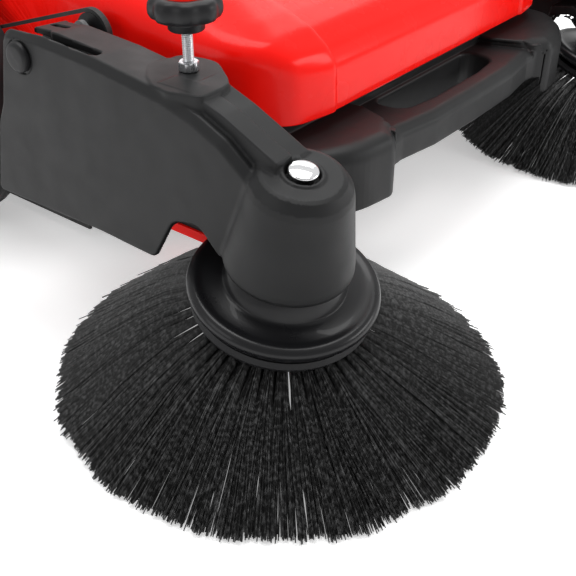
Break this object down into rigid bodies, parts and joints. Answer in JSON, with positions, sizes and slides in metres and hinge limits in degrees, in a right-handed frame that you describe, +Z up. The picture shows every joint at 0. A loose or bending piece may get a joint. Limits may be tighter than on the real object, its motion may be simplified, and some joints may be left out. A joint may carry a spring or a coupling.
{
  "type": "walk-behind sweeper",
  "caption": "Pushed floor sweeper with tilting side brushes on height-adjustable arms, a roller brush, a slide-out hopper and a folding handle.",
  "frame": {"origin": "on the floor, at the centre of the machine's length and width, straight below the wheel axles", "axes": "+Z up, the machine moves forward towards -Y, its right side is -X"},
  "size_m": [0.9408, 1.1943, 0.9868],
  "materials": {
    "black_plastic": "satin moulded plastic",
    "grey_plastic": "satin dark grey moulded plastic",
    "red_plastic": "glossy red moulded plastic",
    "gloss_black": "glossy black moulded plastic",
    "knob_plastic": "satin black moulded plastic",
    "zinc_steel": "zinc-plated steel",
    "bright_steel": "turned steel",
    "chrome_cap": "chromed cap",
    "black_metal": "black powder coat",
    "bush_bronze": "sintered bronze",
    "seal_rubber": "black rubber",
    "tyre_rubber": "matt black tyre rubber",
    "grip_foam": "foam rubber",
    "bristle_fibre": "black nylon filament"
  },
  "bodies": {
    "root": {"chassis": "black_plastic", "front_nose": "grey_plastic", "hood": "red_plastic", "hood_screws": "zinc_steel", "side_lips": "red_plastic", "floor_seals": "seal_rubber", "mudguards": "grey_plastic", "wheel_axles": "bright_steel", "arm_pivot_brackets": "black_metal", "arm_pivot_bolts": "black_plastic", "drive_belts": "seal_rubber", "roller_bearings": "bush_bronze", "handle_brackets": "black_metal", "handle_bolts": "zinc_steel"},
    "roller": {"roller_shaft": "bright_steel", "roller_core": "black_plastic", "roller_bristles": "bristle_fibre", "roller_pulley": "black_plastic"},
    "hopper": {"hopper": "black_plastic", "hopper_handle": "grey_plastic"},
    "handle": {"push_handle": "black_metal", "foam_grip": "grip_foam"},
    "wheel_right": {"tyre_right": "tyre_rubber", "rim_right": "black_plastic"},
    "caster_right": {"caster_fork_right": "zinc_steel"},
    "caster_roll_right": {"caster_wheel_right": "tyre_rubber"},
    "layshaft_right": {"layshaft_right": "black_plastic"},
    "arm_right": {"side_arm_right": "grey_plastic", "lock_nut_right": "zinc_steel", "spindle_bushes_right": "bush_bronze", "arm_belt_right": "seal_rubber"},
    "brush_right": {"spindle_right": "bright_steel", "brush_pulley_right": "black_plastic", "brush_hub_right": "gloss_black", "brush_plate_right": "black_plastic", "bristles_right": "bristle_fibre", "spindle_cap_right": "chrome_cap"},
    "adjuster_right": {"adjuster_screw_right": "zinc_steel"},
    "knob_right": {"adjuster_knob_right": "knob_plastic", "knob_insert_right": "red_plastic"},
    "handle_knob_right": {"handle_knob_right": "knob_plastic"},
    "wheel_left": {"tyre_left": "tyre_rubber", "rim_left": "black_plastic"},
    "caster_left": {"caster_fork_left": "zinc_steel"},
    "caster_roll_left": {"caster_wheel_left": "tyre_rubber"},
    "layshaft_left": {"layshaft_left": "black_plastic"},
    "arm_left": {"side_arm_left": "grey_plastic", "lock_nut_left": "zinc_steel", "spindle_bushes_left": "bush_bronze", "arm_belt_left": "seal_rubber"},
    "brush_left": {"spindle_left": "bright_steel", "brush_pulley_left": "black_plastic", "brush_hub_left": "gloss_black", "brush_plate_left": "black_plastic", "bristles_left": "bristle_fibre", "spindle_cap_left": "chrome_cap"},
    "adjuster_left": {"adjuster_screw_left": "zinc_steel"},
    "knob_left": {"adjuster_knob_left": "knob_plastic", "knob_insert_left": "red_plastic"},
    "handle_knob_left": {"handle_knob_left": "knob_plastic"}
  },
  "joints": [
    {"name": "wheel_right_spin", "type": "hinge", "parent": "root", "child": "wheel_right", "pos_m": [-0.29, 0, 0.12], "axis": [1, 0, 0], "continuous": true},
    {"name": "layshaft_right_spin", "type": "hinge", "parent": "root", "child": "layshaft_right", "pos_m": [-0.29, -0.218, 0.214], "axis": [1, 0, 0], "continuous": true},
    {"name": "arm_right_tilt", "type": "hinge", "parent": "root", "child": "arm_right", "pos_m": [-0.3, -0.218, 0.214], "axis": [-1, 0, 0], "range_deg": [-2, 2]},
    {"name": "brush_right_spin", "type": "hinge", "parent": "arm_right", "child": "brush_right", "pos_m": [-0.294, -0.418, 0], "axis": [-0.085, -0.2198, 0.9718], "continuous": true},
    {"name": "adjuster_right_slide", "type": "slide", "parent": "arm_right", "child": "adjuster_right", "axis": [0, 0, 1], "range_m": [-0.0048, 0.0048]},
    {"name": "knob_right_turn", "type": "hinge", "parent": "adjuster_right", "child": "knob_right", "pos_m": [-0.294, -0.35, 0.25], "axis": [0, 0, 1], "continuous": true},
    {"name": "caster_right_swivel", "type": "hinge", "parent": "root", "child": "caster_right", "pos_m": [-0.13, -0.27, 0.096], "axis": [0, 0, 1], "continuous": true},
    {"name": "caster_right_roll", "type": "hinge", "parent": "caster_right", "child": "caster_roll_right", "pos_m": [-0.13, -0.255, 0.025], "axis": [1, 0, 0], "continuous": true},
    {"name": "handle_knob_right_turn", "type": "hinge", "parent": "root", "child": "handle_knob_right", "pos_m": [-0.29, 0.19, 0.25], "axis": [1, 0, 0], "continuous": true},
    {"name": "wheel_left_spin", "type": "hinge", "parent": "root", "child": "wheel_left", "pos_m": [0.29, 0, 0.12], "axis": [1, 0, 0], "continuous": true},
    {"name": "layshaft_left_spin", "type": "hinge", "parent": "root", "child": "layshaft_left", "pos_m": [0.29, -0.218, 0.214], "axis": [1, 0, 0], "continuous": true},
    {"name": "arm_left_tilt", "type": "hinge", "parent": "root", "child": "arm_left", "pos_m": [0.3, -0.218, 0.214], "axis": [-1, 0, 0], "range_deg": [-2, 2]},
    {"name": "brush_left_spin", "type": "hinge", "parent": "arm_left", "child": "brush_left", "pos_m": [0.294, -0.418, 0], "axis": [0.085, -0.2198, 0.9718], "continuous": true},
    {"name": "adjuster_left_slide", "type": "slide", "parent": "arm_left", "child": "adjuster_left", "axis": [0, 0, 1], "range_m": [-0.0048, 0.0048]},
    {"name": "knob_left_turn", "type": "hinge", "parent": "adjuster_left", "child": "knob_left", "pos_m": [0.294, -0.35, 0.25], "axis": [0, 0, 1], "continuous": true},
    {"name": "caster_left_swivel", "type": "hinge", "parent": "root", "child": "caster_left", "pos_m": [0.13, -0.27, 0.096], "axis": [0, 0, 1], "continuous": true},
    {"name": "caster_left_roll", "type": "hinge", "parent": "caster_left", "child": "caster_roll_left", "pos_m": [0.13, -0.255, 0.025], "axis": [1, 0, 0], "continuous": true},
    {"name": "handle_knob_left_turn", "type": "hinge", "parent": "root", "child": "handle_knob_left", "pos_m": [0.29, 0.19, 0.25], "axis": [1, 0, 0], "continuous": true},
    {"name": "roller_spin", "type": "hinge", "parent": "root", "child": "roller", "pos_m": [0, -0.118, 0.097], "axis": [1, 0, 0], "continuous": true},
    {"name": "hopper_slide", "type": "slide", "parent": "root", "child": "hopper", "axis": [0, 1, 0], "range_m": [0, 0.36]},
    {"name": "handle_fold", "type": "hinge", "parent": "root", "child": "handle", "pos_m": [0, 0.19, 0.25], "axis": [1, 0, 0], "range_deg": [0, 92]}
  ],
  "couplings": [
    {"joint": "layshaft_right_spin", "follows": "wheel_right_spin", "ratio": 2.6},
    {"joint": "brush_right_spin", "follows": "wheel_right_spin", "ratio": 1.3},
    {"joint": "adjuster_right_slide", "follows": "arm_right_tilt", "m_per_rad": -0.132},
    {"joint": "layshaft_left_spin", "follows": "wheel_left_spin", "ratio": 2.6},
    {"joint": "brush_left_spin", "follows": "wheel_left_spin", "ratio": -1.3},
    {"joint": "adjuster_left_slide", "follows": "arm_left_tilt", "m_per_rad": -0.132},
    {"joint": "roller_spin", "follows": "wheel_left_spin", "ratio": 2.6}
  ]
}
